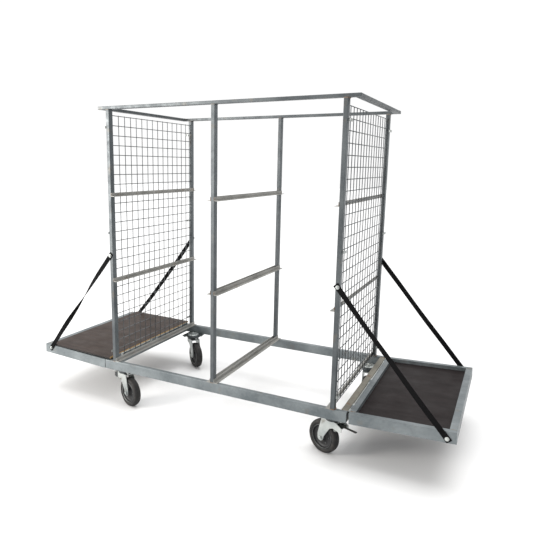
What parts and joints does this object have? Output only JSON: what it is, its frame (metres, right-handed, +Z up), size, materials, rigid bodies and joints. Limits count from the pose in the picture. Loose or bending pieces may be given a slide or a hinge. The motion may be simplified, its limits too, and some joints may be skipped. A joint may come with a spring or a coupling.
{
  "type": "roll cage container",
  "caption": "Wheeled tube frame with tray angles in two bays, wire mesh ends, a folding strap-held shelf at each end and swivel castors.",
  "frame": {"origin": "centre of the bounding box in plan, on the floor under the wheels", "axes": "+X along the length towards the shelf with the recessed deck, +Y from the front side to the back side, +Z up"},
  "size_m": [2.264, 0.8255, 1.61],
  "materials": {
    "galvanised": "dull hot-dip zinc, spangled, with dirt and rust at the welds",
    "wire": "zinc-plated welded wire",
    "plywood": "film-faced plywood, dark brown, raw pale edge where it was sawn",
    "webbing": "black woven polyester webbing",
    "castor_steel": "bright zinc-plated pressed steel",
    "wheel_core": "moulded grey nylon",
    "tyre": "solid rubber, dull",
    "pedal": "dull zinc-plated sheet steel, scuffed where it is trodden"
  },
  "bodies": {
    "frame": {"base_rail_front": "galvanised", "base_rail_back": "galvanised", "base_rail_left": "galvanised", "base_rail_right": "galvanised", "post_front_left": "galvanised", "post_back_left": "galvanised", "post_front_mid": "galvanised", "post_back_mid": "galvanised", "post_front_right": "galvanised", "post_back_right": "galvanised", "top_rail_front": "galvanised", "top_rail_back": "galvanised", "top_rail_left": "galvanised", "top_rail_right": "galvanised", "tray_angle_low_bay1_left": "galvanised", "tray_angle_low_bay1_right": "galvanised", "tray_angle_low_bay2_left": "galvanised", "tray_angle_low_bay2_right": "galvanised", "tray_angle_mid_bay1_left": "galvanised", "tray_angle_mid_bay1_right": "galvanised", "tray_angle_mid_bay2_left": "galvanised", "tray_angle_mid_bay2_right": "galvanised", "tray_angle_high_bay1_left": "galvanised", "tray_angle_high_bay1_right": "galvanised", "tray_angle_high_bay2_left": "galvanised", "tray_angle_high_bay2_right": "galvanised", "end_mesh_left": "wire", "end_mesh_right": "wire", "hinge_pin_right": "castor_steel", "hinge_pin_left": "castor_steel", "strap_front_left": "webbing", "strap_front_right": "webbing", "strap_back_left": "webbing", "strap_back_right": "webbing", "castor_fl_plate": "castor_steel", "castor_fr_plate": "castor_steel", "castor_bl_plate": "castor_steel", "castor_br_plate": "castor_steel"},
    "shelf_left": {"shelf_frame_left": "galvanised", "shelf_deck_left": "plywood"},
    "shelf_right": {"shelf_frame_right": "galvanised", "shelf_deck_right": "plywood"},
    "swivel_fl": {"castor_fl_fork": "castor_steel", "castor_fl_axle": "castor_steel"},
    "wheel_fl": {"castor_fl_hub": "wheel_core", "castor_fl_tyre": "tyre"},
    "pedal_fl": {"brake_pedal_fl": "pedal"},
    "swivel_fr": {"castor_fr_fork": "castor_steel", "castor_fr_axle": "castor_steel"},
    "wheel_fr": {"castor_fr_hub": "wheel_core", "castor_fr_tyre": "tyre"},
    "pedal_fr": {"brake_pedal_fr": "pedal"},
    "swivel_bl": {"castor_bl_fork": "castor_steel", "castor_bl_axle": "castor_steel"},
    "wheel_bl": {"castor_bl_hub": "wheel_core", "castor_bl_tyre": "tyre"},
    "swivel_br": {"castor_br_fork": "castor_steel", "castor_br_axle": "castor_steel"},
    "wheel_br": {"castor_br_hub": "wheel_core", "castor_br_tyre": "tyre"}
  },
  "joints": [
    {"name": "shelf_left_fold", "type": "hinge", "parent": "frame", "child": "shelf_left", "pos_m": [-0.645, 0, 0.265], "axis": [0, 1, 0], "range_deg": [0, 87], "deforming": ["strap_front_left", "strap_back_left"]},
    {"name": "shelf_right_fold", "type": "hinge", "parent": "frame", "child": "shelf_right", "pos_m": [0.685, 0, 0.252], "axis": [0, -1, 0], "range_deg": [0, 87], "deforming": ["strap_front_right", "strap_back_right"]},
    {"name": "swivel_fl_turn", "type": "hinge", "parent": "frame", "child": "swivel_fl", "pos_m": [-0.588, -0.352, 0.19], "axis": [0, 0, 1], "continuous": true},
    {"name": "wheel_fl_spin", "type": "hinge", "parent": "swivel_fl", "child": "wheel_fl", "pos_m": [-0.54102, -0.3691, 0.08], "axis": [0.342, 0.9397, 0], "continuous": true},
    {"name": "pedal_fl_press", "type": "hinge", "parent": "swivel_fl", "child": "pedal_fl", "pos_m": [-0.61243, -0.34311, 0.16], "axis": [-0.342, -0.9397, 0], "range_deg": [0, 18]},
    {"name": "swivel_fr_turn", "type": "hinge", "parent": "frame", "child": "swivel_fr", "pos_m": [0.605, -0.345, 0.19], "axis": [0, 0, 1], "continuous": true},
    {"name": "wheel_fr_spin", "type": "hinge", "parent": "swivel_fr", "child": "wheel_fr", "pos_m": [0.55864, -0.32627, 0.08], "axis": [-0.3746, -0.9272, 0], "continuous": true},
    {"name": "pedal_fr_press", "type": "hinge", "parent": "swivel_fr", "child": "pedal_fr", "pos_m": [0.62911, -0.35474, 0.16], "axis": [0.3746, 0.9272, 0], "range_deg": [0, 18]},
    {"name": "swivel_bl_turn", "type": "hinge", "parent": "frame", "child": "swivel_bl", "pos_m": [-0.573, 0.345, 0.19], "axis": [0, 0, 1], "continuous": true},
    {"name": "wheel_bl_spin", "type": "hinge", "parent": "swivel_bl", "child": "wheel_bl", "pos_m": [-0.5336, 0.31422, 0.08], "axis": [0.6157, 0.788, 0], "continuous": true},
    {"name": "swivel_br_turn", "type": "hinge", "parent": "frame", "child": "swivel_br", "pos_m": [0.6, 0.345, 0.19], "axis": [0, 0, 1], "continuous": true},
    {"name": "wheel_br_spin", "type": "hinge", "parent": "swivel_br", "child": "wheel_br", "pos_m": [0.60349, 0.29512, 0.08], "axis": [0.9976, 0.0698, 0], "continuous": true}
  ]
}
